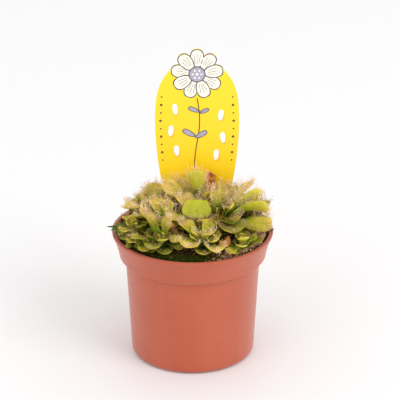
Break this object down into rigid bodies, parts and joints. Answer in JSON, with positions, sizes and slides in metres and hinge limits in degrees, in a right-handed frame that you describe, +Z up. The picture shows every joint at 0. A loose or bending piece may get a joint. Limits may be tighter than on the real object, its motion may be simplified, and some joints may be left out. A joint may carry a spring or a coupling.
{
  "type": "potted sundew",
  "caption": "Potted sundew: crowded rosettes of spoon-shaped, gland-haired leaves in a round tapered plastic pot of peat, with a flat pointed plant tag behind them.",
  "frame": {"origin": "centre of the pot's foot, on the surface that it stands on", "axes": "+Z up along the pot's axis; +Y to the back, where the tag stands; +X to the right as seen from the front"},
  "size_m": [0.09, 0.09, 0.1725],
  "materials": {
    "pot": "satin terracotta-coloured moulded plastic",
    "soil": "damp crumbly peat",
    "leaves": "thin fleshy yellow-green leaf with sticky gland hairs",
    "withered": "dry brown leaf",
    "weed": "fresh green blades",
    "tag": "printed yellow plastic"
  },
  "bodies": {
    "root": {"pot": "pot", "soil": "soil", "tag": "tag", "weed_sprig": "weed", "rosette_tall": "leaves", "rosette_right": "leaves", "rosette_centre": "leaves", "rosette_front": "leaves", "rosette_left": "leaves", "rosette_middle": "leaves", "rosette_back_left": "leaves", "rosette_edge_right": "leaves", "rosette_edge_front": "leaves", "rosette_rim_left": "leaves", "rosette_edge_left": "leaves", "rosette_rear_left": "leaves", "rosette_rear_right": "leaves", "withered_leaf_1": "withered", "withered_leaf_2": "withered", "withered_leaf_3": "withered"}
  },
  "joints": []
}
